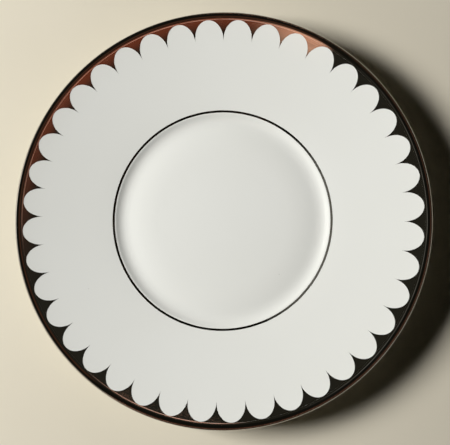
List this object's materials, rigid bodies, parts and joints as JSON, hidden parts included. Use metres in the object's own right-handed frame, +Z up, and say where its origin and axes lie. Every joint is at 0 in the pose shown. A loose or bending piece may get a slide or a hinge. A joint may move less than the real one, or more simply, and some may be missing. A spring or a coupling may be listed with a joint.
{
  "type": "saucer",
  "caption": "Round glazed porcelain saucer with a crowned cup well, a sloping flange, a foot ring and bright metal lining on the scalloped border, lip and well edge.",
  "frame": {"origin": "centre of the foot ring on the plane of its bearing face, where the saucer meets the table", "axes": "+Z up along the axis of revolution, +X through a cusp of the scalloped border"},
  "size_m": [0.1602, 0.1602, 0.0192],
  "materials": {
    "bisque": "matte",
    "glaze": "gloss",
    "platinum": "polished"
  },
  "bodies": {
    "root": {"porcelain_body": "bisque", "glaze_coat": "glaze", "base_glaze": "glaze", "scalloped_border": "platinum", "lip_line": "platinum", "well_line": "platinum"}
  },
  "joints": []
}
